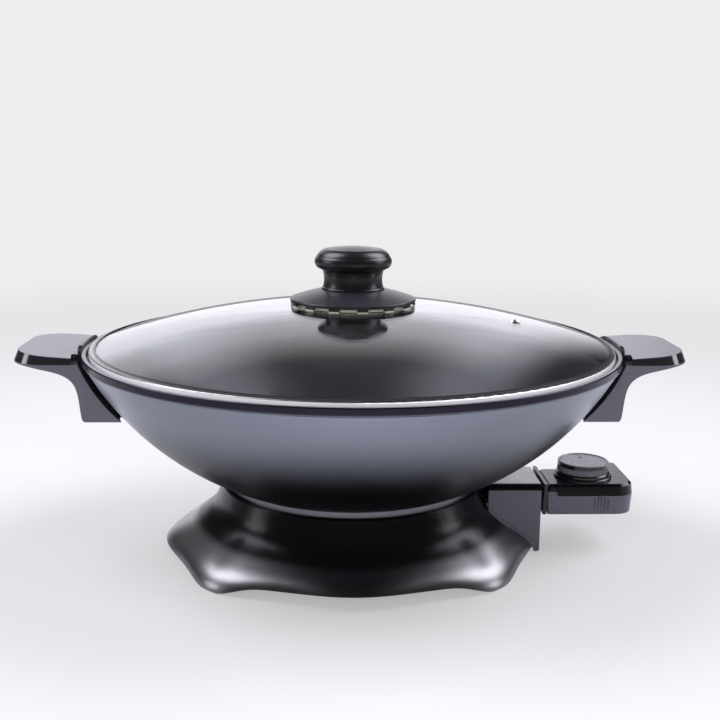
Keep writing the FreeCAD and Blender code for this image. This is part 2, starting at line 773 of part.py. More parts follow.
def control_cavity(bottom, top):
    inside = prism(control_outline(control_wall, bottom), top - bottom)
    return inside.cut(box((100, -60, 0), (control_start + control_wall + 0.4, 60, 60)))


def shaft_hole():
    return rod(4.2, (dial_at[0], dial_at[1], 30), (dial_at[0], dial_at[1], 60))


screw_spots = [(137.0, -17.5), (174.0, -13.0), (174.0, 21.0)]


def control_lower_shell():
    body = control_body().cut(control_cover_room())
    body = body.cut(control_cavity(control_bottom + 2.0, control_split))
    for x, y in screw_spots:
        post = rod(3.4, (x, y, control_bottom + 1), (x, y, control_split))
        sink = rod(3.0, (x, y, control_bottom - 1), (x, y, control_bottom + 2.4))
        body = body.fuse(post).cut(sink).cut(rod(1.4, (x, y, control_bottom), (x, y, 45)))
    body = body.cut(box((120, socket_y - 14.5, 26.0), (131.5, socket_y + 14.5, 41.0)))
    gland_x, gland_z = gland_at
    body = body.cut(rod(4.4, (gland_x, 20, gland_z), (gland_x, 40, gland_z)))
    for column in range(-2, 3):
        half = math.sqrt(5.5 ** 2 - (2.2 * column) ** 2)
        slot_x = 161.8 + 2.2 * column
        body = body.cut(box((slot_x - 0.55, control_front - 1, 31.7 - half),
                            (slot_x + 0.55, control_front + 1.3, 31.7 + half)))
    return body.removeSplitter()


def control_upper_cover():
    body = control_body().common(control_cover_room())
    body = body.cut(control_cavity(control_split - 1, control_top - 2.0))
    for x, y in screw_spots:
        post = rod(3.2, (x, y, control_split), (x, y, control_top - 1.5))
        body = body.fuse(post).cut(rod(1.4, (x, y, control_split), (x, y, 42.0)))
    body = body.cut(box((120, socket_y - 14.5, 26.0), (131.5, socket_y + 14.5, 41.0)))
    return body.cut(shaft_hole()).removeSplitter()


def control_screws():
    screws = []
    for x, y in screw_spots:
        head = rod(2.8, (x, y, control_bottom + 0.5), (x, y, control_bottom + 2.4))
        cross = box((x - 1.8, y - 0.4, control_bottom), (x + 1.8, y + 0.4, control_bottom + 1.3))
        shank = rod(1.4, (x, y, control_bottom + 2.4), (x, y, 42.0))
        screws.append(shank.fuse(head).cut(cross))
    return Part.makeCompound(screws)


def control_collar():
    """Thin end flange with two ears that stand proud of the case."""
    plate = box((collar_start, control_front + 1, control_bottom), (control_start, neck_back - 1, 44.0))
    ears = box((collar_start, control_front - 0.9, 36.4),
               (control_start, neck_back + 1.6, control_top + 0.9))
    body = plate.fuse(ears).removeSplitter()
    return body.cut(box((120, socket_y - 14.5, 26.0), (131.5, socket_y + 14.5, 41.0)))


def contact_block():
    """Plug body with two bores for the spring sleeves and one for the probe."""
    body = box((104.0, socket_y - 14.5, 26.0), (131.5, socket_y + 14.5, 41.0))
    upright = [edge for edge in body.Edges if edge.BoundBox.XLength > 20]
    body = body.makeFillet(2.0, upright)
    for side in (-1, 1):
        y = socket_y + side * pin_offset
        body = body.cut(rod(3.4, (104, y, probe_height), (123, y, probe_height)))
    return body.cut(rod(probe_radius, (100, socket_y, probe_height), (140, socket_y, probe_height)))


def contact_sleeves():
    sleeves = []
    for side in (-1, 1):
        y = socket_y + side * pin_offset
        sleeves.append(tube(3.4, pin_radius + 0.1, (104.6, y, probe_height), (123, y, probe_height)))
    return Part.makeCompound(sleeves)


def probe_rod():
    shank = rod(probe_radius, (probe_tip + 3, socket_y, probe_height), (134, socket_y, probe_height))
    tip = Part.makeSphere(probe_radius, V(probe_tip + 3, socket_y, probe_height))
    return shank.fuse(tip)


def thermostat():
    """Switch body on the floor of the case, with the bush that the dial's shaft turns in."""
    x, y = dial_at
    floor = control_bottom + 2.0
    frame = box((x - 15, y - 9, floor), (x + 13, y + 9, floor + 7))
    stack = box((x - 11, y - 6, floor + 7), (x - 4.6, y + 6, floor + 12))
    bush = rod(4.0, (x, y, floor + 7), (x, y, control_top - 0.5))
    bore = rod(shaft_radius + 0.08, (x, y, floor + 4), (x, y, 60))
    return frame.fuse([stack, bush]).cut(bore).removeSplitter()


def cord_gland():
    """Flanged bush in the back face; the cord passes through its bore."""
    x, z = gland_at
    neck = rod(4.4, (x, control_back - control_wall - 1.0, z), (x, control_back, z))
    flange = rod(6.0, (x, control_back, z), (x, control_back + 1.6, z))
    snout = Part.makeCone(5.2, 4.6, 8.4, V(x, control_back + 1.6, z), along_y)
    bore = rod(gland_bore, (x, control_back - 6, z), (x, control_back + 12, z))
    return neck.fuse([flange, snout]).cut(bore).removeSplitter()


def dial_bezel():
    ring = turned((4.2, control_top), (bezel_radius, control_top),
                  ((bezel_radius, control_top + 1.2), (bezel_radius - 1.0, dial_bottom - 0.3)),
                  (4.2, dial_bottom - 0.3))
    ring.translate(V(dial_at[0], dial_at[1], 0))
    return ring


def dial_knob():
    """Dial with a flared foot, a belt of fine ribs and a raised edge round its top."""
    belt_bottom = dial_bottom + 2.0
    belt_top = belt_bottom + 3.8
    foot = dial_radius + 0.8
    core = dial_radius - 0.5
    body = turned((0, dial_bottom), (foot, dial_bottom), (foot, dial_bottom + 1.2),
                  (core, belt_bottom), (core, belt_top), (dial_radius, belt_top),
                  (dial_radius, dial_top - 0.6),
                  ((dial_radius - 0.2, dial_top - 0.2), (dial_radius - 0.6, dial_top)),
                  (dial_radius - 1.6, dial_top), (dial_radius - 2.0, dial_top - 0.4), (0, dial_top - 0.4))
    rim = []
    for step in range(2 * rib_count + 1):
        reach = dial_radius if step % 2 == 0 else dial_radius - 0.45
        rim.append(polar(reach, 180 * step / rib_count, belt_bottom))
    body = body.fuse(prism(Part.makePolygon(rim), belt_top - belt_bottom))
    mark = box((-0.5, 6.0, dial_top - 0.4), (0.5, dial_radius - 2.6, dial_top))
    body = body.fuse(mark).cut(rod(shaft_radius, (0, 0, 0), (0, 0, dial_top - 2.0)))
    body.translate(V(dial_at[0], dial_at[1], 0))
    return body.removeSplitter()


def dial_shaft():
    x, y = dial_at
    return rod(shaft_radius, (x, y, 32.0), (x, y, dial_top - 2.0))


# ---------------------------------------------------------------- assembly

parts = {
    "wok_bowl": wok_bowl(),
    "handle_collar_right": handle_collar(),
    "handle_collar_left": mirrored(handle_collar()),
    "handle_right": handle(),
    "handle_left": mirrored(handle()),
    "handle_screws": handle_screws(),
    "base_skirt": base_skirt(),
    "rubber_feet": rubber_feet(),
    "base_plate": base_plate(),
    "base_screws": base_screws(),
    "centre_bolt": centre_bolt(),
    "centre_washer": centre_washer(),
    "centre_nut": centre_nut(),
    "centre_spacer": centre_spacer(),
    "heat_shield": heat_shield(),
    "heating_element": heating_element(),
    "terminal_pins": terminal_pins(),
    "thermowell": thermowell(),
    "terminal_block": terminal_block(),
    "socket_housing": socket_housing(),
    "lid_glass": lid_glass(),
    "lid_rim_band": lid_rim_band(),
    "vent_grommet": vent_grommet(),
    "knob_flange": knob_flange(),
    "knob_trim_ring": knob_trim_ring(),
    "knob_grip": knob_grip(),
    "knob_gasket": knob_gasket(),
    "knob_washer": knob_washer(),
    "knob_screw": knob_screw(),
    "control_lower_shell": control_lower_shell(),
    "control_upper_cover": control_upper_cover(),
    "control_collar": control_collar(),
    "control_screws": control_screws(),
    "contact_block": contact_block(),
    "contact_sleeves": contact_sleeves(),
    "probe_rod": probe_rod(),
    "thermostat": thermostat(),
    "cord_gland": cord_gland(),
    "dial_bezel": dial_bezel(),
    "dial_knob": dial_knob(),
    "dial_shaft": dial_shaft(),
}

os.makedirs("parts", exist_ok=True)
for name, shape in parts.items():
    low = shape.BoundBox
    print("%-22s valid %s solids %d volume %.0f  x %.1f..%.1f  y %.1f..%.1f  z %.1f..%.1f" % (
        name, shape.isValid(), len(shape.Solids), shape.Volume,
        low.XMin, low.XMax, low.YMin, low.YMax, low.ZMin, low.ZMax))
    shape.exportStep("parts/" + name + ".step")
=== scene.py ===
import math
import bpy
from mathutils import Matrix, Vector


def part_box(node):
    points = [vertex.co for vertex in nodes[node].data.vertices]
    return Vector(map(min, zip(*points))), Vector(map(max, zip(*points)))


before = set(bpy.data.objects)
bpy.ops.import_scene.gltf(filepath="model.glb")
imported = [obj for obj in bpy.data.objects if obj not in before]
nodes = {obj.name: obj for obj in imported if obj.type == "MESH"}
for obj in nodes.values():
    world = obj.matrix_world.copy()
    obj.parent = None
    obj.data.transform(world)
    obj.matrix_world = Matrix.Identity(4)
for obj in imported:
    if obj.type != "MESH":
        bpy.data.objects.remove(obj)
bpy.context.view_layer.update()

scene = bpy.context.scene
scene.view_settings.view_transform = "Standard"
print("frame loaded:", len(nodes), "nodes")


def grey(value):
    return (value, value, value, 1.0)


def rgb(red, green, blue):
    return (red, green, blue, 1.0)


def brighter(colour, times):
    return tuple(min(1.0, channel * times) for channel in colour[:3]) + (1.0,)


def flatLength(across, along):               # of two numbers or two wires
    return (across * across + along * along) ** 0.5


def fillStops(ramp, stops):
    while len(ramp.elements) < len(stops):
        ramp.elements.new(1.0)
    for element, (position, colour) in zip(ramp.elements, stops):
        element.position = position
        element.color = colour


class Wire:                                  # an output socket that can be used in sums
    def __init__(self, paint, socket):
        self.paint = paint
        self.socket = socket

    def maths(self, operation, first, second=None, clamp=False):
        values = {0: first} if second is None else {0: first, 1: second}
        return self.paint.node("Math", {"operation": operation, "use_clamp": clamp}, values)

    def __add__(self, other):
        return self.maths("ADD", self, other)

    def __radd__(self, other):
        return self.maths("ADD", other, self)

    def __sub__(self, other):
        return self.maths("SUBTRACT", self, other)

    def __rsub__(self, other):
        return self.maths("SUBTRACT", other, self)

    def __mul__(self, other):
        return self.maths("MULTIPLY", self, other)

    def __rmul__(self, other):
        return self.maths("MULTIPLY", other, self)

    def __truediv__(self, other):
        return self.maths("DIVIDE", self, other)

    def __rtruediv__(self, other):
        return self.maths("DIVIDE", other, self)

    def __pow__(self, other):
        return self.maths("POWER", self, other)

    def __rpow__(self, other):
        return self.maths("POWER", other, self)

    def __abs__(self):
        return self.maths("ABSOLUTE", self)

    def clamped(self):                       # held between 0 and 1
        return self.maths("ADD", self, 0.0, clamp=True)


class Paint:                                 # a node tree, of a material or of the sky
    def __init__(self, tree):
        self.tree = tree

    def node(self, kind, settings, sockets, out=0):
        made = self.tree.nodes.new("ShaderNode" + kind)
        for key, value in settings.items():
            if key == "stops":
                fillStops(made.color_ramp, value)
            else:
                setattr(made, key, value)
        for key, value in sockets.items():
            if isinstance(value, Wire):
                self.tree.links.new(value.socket, made.inputs[key])
            else:
                made.inputs[key].default_value = value
        return Wire(self, made.outputs[out])

    def others(self, wire, *names):          # more outputs of the node behind a wire
        return [Wire(self, wire.socket.node.outputs[name]) for name in names]

    def parts(self, vector):
        split = self.node("SeparateXYZ", {}, {"Vector": vector})
        return self.others(split, "X", "Y", "Z")

    def step(self, value, low, high):        # smooth 0 to 1 between two values
        return self.node("MapRange", {"interpolation_type": "SMOOTHSTEP"},
                         {"Value": value, "From Min": low, "From Max": high})

    def above(self, value, edge, soft):      # 0 below an edge and 1 above it
        return self.step(value, edge - soft, edge + soft)

    def mix(self, factor, first, second, blend="MIX"):
        return self.node("Mix", {"data_type": "RGBA", "blend_type": blend},
                         {0: factor, 6: first, 7: second}, 2)


socketNames = {"colour": "Base Color", "roughness": "Roughness", "metallic": "Metallic", "ior": "IOR",
               "coatIor": "Coat IOR", "coatRoughness": "Coat Roughness", "specular": "Specular IOR Level",
               "transmission": "Transmission Weight"}
hairline = 0.0001                            # half the width of a sharp change of finish, metres


class Finish(Paint):                         # one material
    def __init__(self, name, **fixed):
        self.material = bpy.data.materials.new(name)
        self.material.use_nodes = True
        super().__init__(self.material.node_tree)
        self.shader = self.tree.nodes["Principled BSDF"]
        for key, value in fixed.items():
            self.shader.inputs[socketNames[key]].default_value = value

    def place(self):                         # object coordinates, metres
        return self.node("TexCoord", {}, {}, "Object")

    def noise(self, scale, detail=3.0, rough=0.5, vector=None):
        return self.node("TexNoise", {}, {"Vector": vector or self.place(), "Scale": scale,
                                          "Detail": detail, "Roughness": rough}, "Fac")

    def stretchedNoise(self, scales, detail, rough):             # a scale for each axis
        vector = self.node("VectorMath", {"operation": "MULTIPLY"}, {0: self.place(), 1: scales})
        return self.noise(1.0, detail, rough, vector)

    def spunNoise(self, radius, z, scale, detail):               # fine lines that run round the axis
        vector = self.node("CombineXYZ", {}, {"X": radius * scale, "Y": z * scale})
        return self.noise(1.0, detail, 0.6, vector)

    def vary(self, name, wire):
        self.tree.links.new(wire.socket, self.shader.inputs[name])

    def varied(self, name):                  # what feeds a socket so far
        return Wire(self, self.shader.inputs[name].links[0].from_socket)

    def bump(self, height, distance, strength=1.0):
        self.vary("Normal", self.node("Bump", {}, {"Strength": strength, "Distance": distance,
                                                   "Height": height}))


cameraView = {"place": (-0.01996, -0.66724, 0.26018), "heading": 2.13, "pitch": 11.61, "roll": 0.50,
              "lens": 52.5, "sensor": 36.0}


def makeCamera(values):
    data = bpy.data.cameras.new("camera")
    data.lens = values["lens"]
    data.sensor_width = values["sensor"]
    camera = bpy.data.objects.new("camera", data)
    scene.collection.objects.link(camera)
    heading, pitch, roll = (math.radians(values[key]) for key in ("heading", "pitch", "roll"))
    forward = Vector((math.sin(heading) * math.cos(pitch), math.cos(heading) * math.cos(pitch),
                      -math.sin(pitch)))
    level = Vector((math.cos(heading), -math.sin(heading), 0.0))
    above = level.cross(forward)
    right = math.cos(roll) * level + math.sin(roll) * above
    upward = math.cos(roll) * above - math.sin(roll) * level
    turn = Matrix((right, upward, -forward)).transposed()
    camera.matrix_world = Matrix.Translation(Vector(values["place"])) @ turn.to_4x4()
    scene.camera = camera


makeCamera(cameraView)
print("camera placed")


highGlow = {"colour": rgb(6.4, 6.3, 7.0), "core": 9.0, "edge": 28.0}       # full and faded out, degrees
lowGlow = {"colour": rgb(4.8, 4.8, 5.2), "core": 2.0, "edge": 13.0}
studio = {"floorSize": 40.0, "floorNear": grey(0.73), "floorFar": grey(0.15), "floorRoughness": 0.6,
          "floorSpecular": 0.2, "white": grey(0.85),
          # the floor turns white with the distance from the object, and is part white beside it
          "fadeFrom": 0.30, "fadeTo": 1.50, "whiteShare": 0.45,
          # the sky's brightness by the sine of the height above the horizon
          "front": [(0.0, grey(0.06)), (0.20, grey(0.03)), (1.0, grey(0.02))],
          "back": [(0.0, rgb(1.10, 1.10, 1.16)), (0.25, rgb(1.42, 1.42, 1.53)),
                   (0.34, rgb(1.02, 1.02, 1.10)), (0.45, rgb(0.85, 0.85, 0.90)), (0.53, grey(0.45)),
                   (0.60, grey(0.08)), (1.0, grey(0.02))],
          # the level direction of the back, and the cosines between which it starts
          "behind": (-0.08, 0.997), "behindFrom": 0.88, "behindTo": 0.95,
          "glows": [dict(highGlow, towards=(-0.62, 0.16, 0.77)), dict(highGlow, towards=(0.68, 0.24, 0.70)),
                    dict(lowGlow, towards=(-0.97, -0.06, 0.22)), dict(lowGlow, towards=(0.97, -0.06, 0.22))]}
lamps = [{"name": "frontTop", "place": (0.0, -0.45, 1.25), "aim": (0.0, 0.0, 0.1), "size": (0.70, 0.20),
          "power": 2.0},
         {"name": "frontFill", "place": (0.0, -1.60, 0.70), "aim": (0.0, 0.0, 0.05), "size": (1.2, 0.8),
          "power": 12.0}]


def makeFloor(values):
    half = values["floorSize"] / 2
    corners = [(-half, -half, 0), (half, -half, 0), (half, half, 0), (-half, half, 0)]
    mesh = bpy.data.meshes.new("floor")
    mesh.from_pydata(corners, [], [(0, 1, 2, 3)])
    floor = bpy.data.objects.new("floor", mesh)
    scene.collection.objects.link(floor)
    paint = Finish("floorPaint", roughness=values["floorRoughness"], specular=values["floorSpecular"])
    x, y, z = paint.parts(paint.place())
    away = paint.step(flatLength(x, y), values["fadeFrom"], values["fadeTo"])
    paint.vary("Base Color", paint.mix(away, values["floorNear"], values["floorFar"]))
    camera, glass = paint.others(paint.node("LightPath", {}, {}), "Is Camera Ray", "Is Transmission Ray")
    share = (camera + glass).clamped() * (values["whiteShare"] + away * (1.0 - values["whiteShare"]))
    glow = paint.node("Emission", {}, {"Color": values["white"], "Strength": 1.0})
    body = Wire(paint, paint.shader.outputs[0])
    joined = paint.node("MixShader", {}, {0: share, 1: body, 2: glow})
    paint.tree.links.new(joined.socket, paint.tree.nodes["Material Output"].inputs["Surface"])
    mesh.materials.append(paint.material)


def makeSky(values):
    world = bpy.data.worlds.new("studio")
    world.use_nodes = True
    scene.world = world
    sky = Paint(world.node_tree)
    x, y, z = sky.parts(sky.node("TexCoord", {}, {}, "Generated"))
    front = sky.node("ValToRGB", {"stops": values["front"]}, {0: z})
    back = sky.node("ValToRGB", {"stops": values["back"]}, {0: z})
    acrossPart, behindPart = values["behind"]
    behind = (x * acrossPart + y * behindPart) / flatLength(x, y)
    light = sky.mix(sky.step(behind, values["behindFrom"], values["behindTo"]), front, back)
    for glow in values["glows"]:
        toX, toY, toZ = Vector(glow["towards"]).normalized()
        edge, core = (math.cos(math.radians(glow[key])) for key in ("edge", "core"))
        light = sky.mix(sky.step(x * toX + y * toY + z * toZ, edge, core), light, glow["colour"], "ADD")
    light = sky.mix(sky.node("LightPath", {}, {}, "Is Camera Ray"), light, values["white"])
    sky.tree.links.new(light.socket, sky.tree.nodes["Background"].inputs["Color"])


def makeLamp(values):
    data = bpy.data.lights.new(values["name"], "AREA")
    data.shape = "RECTANGLE"
    data.size, data.size_y = values["size"]
    data.energy = values["power"]
    lamp = bpy.data.objects.new(values["name"], data)
    scene.collection.objects.link(lamp)
    lamp.visible_glossy = False              # its outline doesn't show in the glass
    lamp.location = values["place"]
    lamp.rotation_mode = "QUATERNION"
    lamp.rotation_quaternion = (Vector(values["aim"]) - lamp.location).to_track_quat("-Z", "Y")


makeFloor(studio)
makeSky(studio)
for lampValues in lamps:
    makeLamp(lampValues)
print("studio lit")


def dress(finish, *names):                   # gives CAD nodes a finish
    for name in names:
        materials = nodes[name].data.materials
        materials.clear()
        materials.append(finish.material)
        for face in nodes[name].data.polygons:
            face.material_index = 0


# painted shade: the bowl's outside darkens from the high colours to the low colour towards the bottom,
# standing in for the shade and dark reflections under the bowl
bowlLook = {"low": rgb(0.024, 0.024, 0.031), "high": rgb(0.212, 0.230, 0.276),
            "highLight": rgb(0.265, 0.286, 0.340), "band": rgb(0.030, 0.028, 0.040),
            "lip": rgb(0.30, 0.305, 0.345), "footRing": rgb(0.16, 0.16, 0.18),
            "lining": rgb(0.018, 0.019, 0.021), "fleck": rgb(0.050, 0.051, 0.056),
            # depths below the top of the rim
            "heightFade": (0.0608, 0.0178), "bandFade": (0.0052, 0.0034), "lipDepth": 0.00055,
            "ledgeDepth": 0.00365, "footDepth": 0.08565,
            # distances in from the outside of the rim
            "outerInset": 0.00065, "lipInset": 0.00275, "ledgeInset": 0.0024, "footInset": 0.0886,
            # the wall is an arc in section: its centre, and a radius inside its metal
            "centreInset": 0.15895, "centreRise": 0.07844, "wallRadius": 0.1762, "soft": 0.00015,
            "lines": 2600.0, "clouds": 24.0, "flecks": 2600.0, "fleckRange": (0.60, 0.72),
            "roughness": 0.28, "unevenness": 0.05, "bandPolish": 0.08, "liningRoughness": 0.38,
            "bumpHeight": 0.00002, "bumpStrength": 0.5}


def bowlFinish(look):
    metal = Finish("satinBowlMetal")
    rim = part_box("wok_bowl")[1]              # its highest and widest corner
    x, y, z = metal.parts(metal.place())
    radius = flatLength(x, y)

    def higher(depth):                       # 1 above a depth below the rim's top
        return metal.above(z, rim.z - depth, look["soft"])

    def wider(inset):                        # 1 outside an inset from the rim's outside
        return metal.above(radius, rim.x - inset, look["soft"])

    fromCentre = flatLength(radius - (rim.x - look["centreInset"]), z - (rim.z + look["centreRise"]))
    hollow = 1.0 - metal.above(fromCentre, look["wallRadius"], look["soft"])
    outer = wider(look["outerInset"])
    lip = higher(look["lipDepth"]) * wider(look["lipInset"])
    ledge = higher(look["ledgeDepth"]) * (1.0 - wider(look["ledgeInset"]))
    inside = (hollow + ledge).clamped() * (1.0 - lip)
    footRing = (1.0 - higher(look["footDepth"])) * wider(look["footInset"])
    band = metal.step(z, *(rim.z - depth for depth in look["bandFade"])) * outer
    # painted shade and reflection: 1 above the depths where the outside turns to the dark low colour
    abovePaintedShade = metal.step(z, *(rim.z - depth for depth in look["heightFade"]))
    # fine spun lines run round the axis, with a slow cloudiness over them
    lines = metal.spunNoise(radius, z, look["lines"], 4.0)
    clouds = metal.noise(look["clouds"])
    fleck = metal.step(metal.noise(look["flecks"], 2.0, 0.6), *look["fleckRange"])
    upper = metal.mix(lines * 0.5 + clouds * 0.4, look["high"], look["highLight"])
    colour = metal.mix(footRing, metal.mix(abovePaintedShade, look["low"], upper), look["footRing"])
    colour = metal.mix(band, colour, look["band"])
    colour = metal.mix(lip * (1.0 - outer), colour, look["lip"])
    metal.vary("Base Color", metal.mix(inside, colour, metal.mix(fleck, look["lining"], look["fleck"])))
    metal.vary("Metallic", 1.0 - inside)
    outside = look["roughness"] + (lines + clouds) * look["unevenness"]
    metal.vary("Roughness", outside * (1.0 - inside) + inside * look["liningRoughness"]
               - band * look["bandPolish"])
    metal.bump(lines * 0.5 + fleck * inside, look["bumpHeight"], look["bumpStrength"])
    return metal


dress(bowlFinish(bowlLook), "wok_bowl")
print("bowl finished")


moulded = {"grain": 2400.0, "cloud": 30.0, "unevenness": 0.06, "bumpHeight": 0.00002, "bumpStrength": 0.6}
blackLook = dict(moulded, name="blackPlastic", dark=rgb(0.008, 0.008, 0.009), light=rgb(0.013, 0.013, 0.014),
                 roughness=0.20)
knobLook = dict(moulded, name="knobPlastic", dark=rgb(0.006, 0.006, 0.007), light=rgb(0.011, 0.011, 0.012),
                roughness=0.26)
flangeLook = dict(moulded, name="flangePlastic", dark=rgb(0.016, 0.017, 0.021),
                  light=rgb(0.030, 0.031, 0.038), roughness=0.30, seal=rgb(0.56, 0.53, 0.44),
                  sealHeight=0.0009, sealRoughness=0.65)
insulatorLook = dict(moulded, name="insulator", dark=rgb(0.50, 0.46, 0.38), light=rgb(0.60, 0.56, 0.47),
                     roughness=0.65)


def mouldedPlastic(look):                    # a fine grain over a slow cloudiness
    plastic = Finish(look["name"])
    grain = plastic.noise(look["grain"], rough=0.6)
    cloud = plastic.noise(look["cloud"], detail=2.0)
    plastic.vary("Base Color", plastic.mix(cloud * 0.6 + grain * 0.4, look["dark"], look["light"]))
    plastic.vary("Roughness", look["roughness"] + (grain + (cloud - 0.5)) * look["unevenness"])
    plastic.bump(grain, look["bumpHeight"], look["bumpStrength"])
    return plastic


def flangeFinish(look):                      # the teeth under the flange end in a cream silicone seal
    flange = mouldedPlastic(look)
    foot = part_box("knob_flange")[0].z
    x, y, z = flange.parts(flange.place())
    seal = 1.0 - flange.above(z, foot + look["sealHeight"], hairline)
    flange.vary("Base Color", flange.mix(seal, flange.varied("Base Color"), look["seal"]))
    flange.vary("Roughness", flange.varied("Roughness") + seal * (look["sealRoughness"] - look["roughness"]))
    return flange


dress(mouldedPlastic(blackLook), "handle_collar_left", "handle_collar_right", "control_collar",
      "contact_block", "dial_bezel")
dress(mouldedPlastic(knobLook), "knob_grip", "knob_trim_ring")
dress(flangeFinish(flangeLook), "knob_flange")
dress(mouldedPlastic(insulatorLook), "terminal_block", "thermostat")
print("plain mouldings finished")


# depths are below the piece's highest point, and the handles' tops rise outward
slate = {"dark": rgb(0.084, 0.085, 0.112), "light": rgb(0.108, 0.109, 0.140),
         "topDark": rgb(0.094, 0.092, 0.112), "topLight": rgb(0.106, 0.104, 0.126),
         "gloss": rgb(0.004, 0.004, 0.005), "roughness": 0.36, "topRoughness": 0.24, "glossRoughness": 0.07,
         "topCoat": 0.2, "coatRoughness": 0.16, "specular": 0.5, "topDepth": 0.0002, "topSlope": 0.0,
         "slopeInset": 0.0, "grain": 2600.0, "streaks": (60.0, 900.0, 300.0), "unevenness": 0.06,
         "streakUnevenness": 0.03, "bumpHeight": 0.00002, "bumpStrength": 0.4}
handleLook = dict(slate, name="handlePlastic", glossDepth=0.0068, topDepth=0.0030, topSlope=0.075,
                  slopeInset=0.0388, specular=0.8, topCoat=0.0, gloss=rgb(0.018, 0.018, 0.022))
coverLook = dict(slate, name="coverPlastic", glossDepth=0.05, specular=0.25, topRoughness=0.16,
                 topDark=rgb(0.022, 0.022, 0.028), topLight=rgb(0.030, 0.030, 0.038))
shellLook = dict(slate, name="shellPlastic", glossDepth=0.0047)
# painted reflection: the hood's top is coloured light grey for the bright wall mirrored in it, over the same
# slate plastic as its sides
hoodLook = dict(slate, name="hoodPlastic", glossDepth=0.0040, topCoat=0.6,
                topDark=rgb(0.262, 0.256, 0.306), topLight=rgb(0.275, 0.269, 0.320))


def bandedPlastic(look, node):               # satin sides, a polished black edge, a lightly streaked top
    plastic = Finish(look["name"], coatRoughness=look["coatRoughness"], specular=look["specular"])
    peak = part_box(node)[1]
    x, y, z = plastic.parts(plastic.place())
    grain = plastic.noise(look["grain"], rough=0.6)
    streak = plastic.stretchedNoise(look["streaks"], 3.0, 0.55)
    rising = (abs(x) - (peak.x - look["slopeInset"])) * look["topSlope"]
    top = plastic.above(z - rising, peak.z - look["topDepth"], hairline)
    gloss = plastic.above(z, peak.z - look["glossDepth"], hairline) * (1.0 - top)
    satin = plastic.mix(streak * 0.7 + grain * 0.3, look["dark"], look["light"])
    upper = plastic.mix(streak * 0.8 + grain * 0.2, look["topDark"], look["topLight"])
    plastic.vary("Base Color", plastic.mix(gloss, plastic.mix(top, satin, upper), look["gloss"]))
    plain = (1.0 - top) * look["roughness"] + top * look["topRoughness"]
    rough = plain + grain * look["unevenness"] + (streak - 0.5) * look["streakUnevenness"]
    plastic.vary("Roughness", rough * (1.0 - gloss) + gloss * look["glossRoughness"])
    if look["topCoat"]:
        plastic.vary("Coat Weight", top * look["topCoat"])
    plastic.bump((grain * 0.9 + streak * 0.1) * (1.0 - gloss), look["bumpHeight"], look["bumpStrength"])
    return plastic


dress(bandedPlastic(handleLook, "handle_right"), "handle_left", "handle_right")
dress(bandedPlastic(coverLook, "control_upper_cover"), "control_upper_cover")
dress(bandedPlastic(shellLook, "control_lower_shell"), "control_lower_shell")
dress(bandedPlastic(hoodLook, "socket_housing"), "socket_housing")
print("handles, control and hood finished")


dialLook = {"beltFrom": 0.0020, "beltTo": 0.0058,          # heights above its foot
            "faceDepth": 0.00055, "faceSoft": 0.00005,     # below its top
            "black": rgb(0.008, 0.008, 0.010), "ribs": rgb(0.120, 0.121, 0.148),
            "face": rgb(0.14, 0.14, 0.17), "mottle": rgb(0.21, 0.21, 0.25), "blotches": 420.0,
            "blotchRange": (0.42, 0.62), "grain": 2600.0, "roughness": 0.16, "beltRoughness": 0.36,
            "faceRoughness": 0.24, "unevenness": 0.06, "faceCoat": 0.2, "coatRoughness": 0.16,
            "bumpHeight": 0.00002, "bumpStrength": 0.4}


def dialFinish(look):                        # a dull ribbed belt and a mottled face
    dial = Finish("dialPlastic", coatRoughness=look["coatRoughness"])
    foot, peak = (corner.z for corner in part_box("dial_knob"))
    x, y, z = dial.parts(dial.place())
    belt = dial.above(z, foot + look["beltFrom"], hairline) * (
        1.0 - dial.above(z, foot + look["beltTo"], hairline))
    top = dial.above(z, peak - look["faceDepth"], look["faceSoft"])
    blotch = dial.step(dial.noise(look["blotches"], rough=0.6), *look["blotchRange"])
    grain = dial.noise(look["grain"], rough=0.6)
    side = dial.mix(belt, look["black"], look["ribs"])
    dial.vary("Base Color", dial.mix(top, side, dial.mix(blotch, look["face"], look["mottle"])))
    sideRough = look["roughness"] + belt * (look["beltRoughness"] - look["roughness"])
    dial.vary("Roughness", sideRough * (1.0 - top) + top * look["faceRoughness"] + grain * look["unevenness"])
    dial.vary("Coat Weight", top * look["faceCoat"])
    dial.bump(grain, look["bumpHeight"], look["bumpStrength"])
    return dial


dress(dialFinish(dialLook), "dial_knob")
print("dial finished")


baseLook = {"plain": rgb(0.0045, 0.0045, 0.0055), "dust": rgb(0.010, 0.010, 0.011), "specks": 5200.0,
            "speckRange": (0.74, 0.80), "ripples": 60.0, "bumpHeight": 0.00003, "roughness": 0.20,
            "dustRoughness": 0.10, "unevenness": 0.03, "specular": 0.18, "coatIor": 2.4,
            "coatRoughness": 0.30, "coatTo": 0.0195, "heightFade": 0.0025}   # heights above the table


def baseFinish(look):                        # a faint ripple and dust, polished on its lobes
    gloss = Finish("pianoBlack", specular=look["specular"], coatIor=look["coatIor"],
                   coatRoughness=look["coatRoughness"])
    x, y, z = gloss.parts(gloss.place())
    gloss.vary("Coat Weight", 1.0 - gloss.above(z, look["coatTo"], look["heightFade"]))
    ripple = gloss.noise(look["ripples"], detail=2.0)
    dust = gloss.step(gloss.noise(look["specks"], detail=1.0), *look["speckRange"])
    gloss.vary("Base Color", gloss.mix(dust, look["plain"], look["dust"]))
    gloss.vary("Roughness", look["roughness"] + dust * look["dustRoughness"] + ripple * look["unevenness"])
    gloss.bump(ripple, look["bumpHeight"])
    return gloss


dress(baseFinish(baseLook), "base_skirt")
print("base finished")


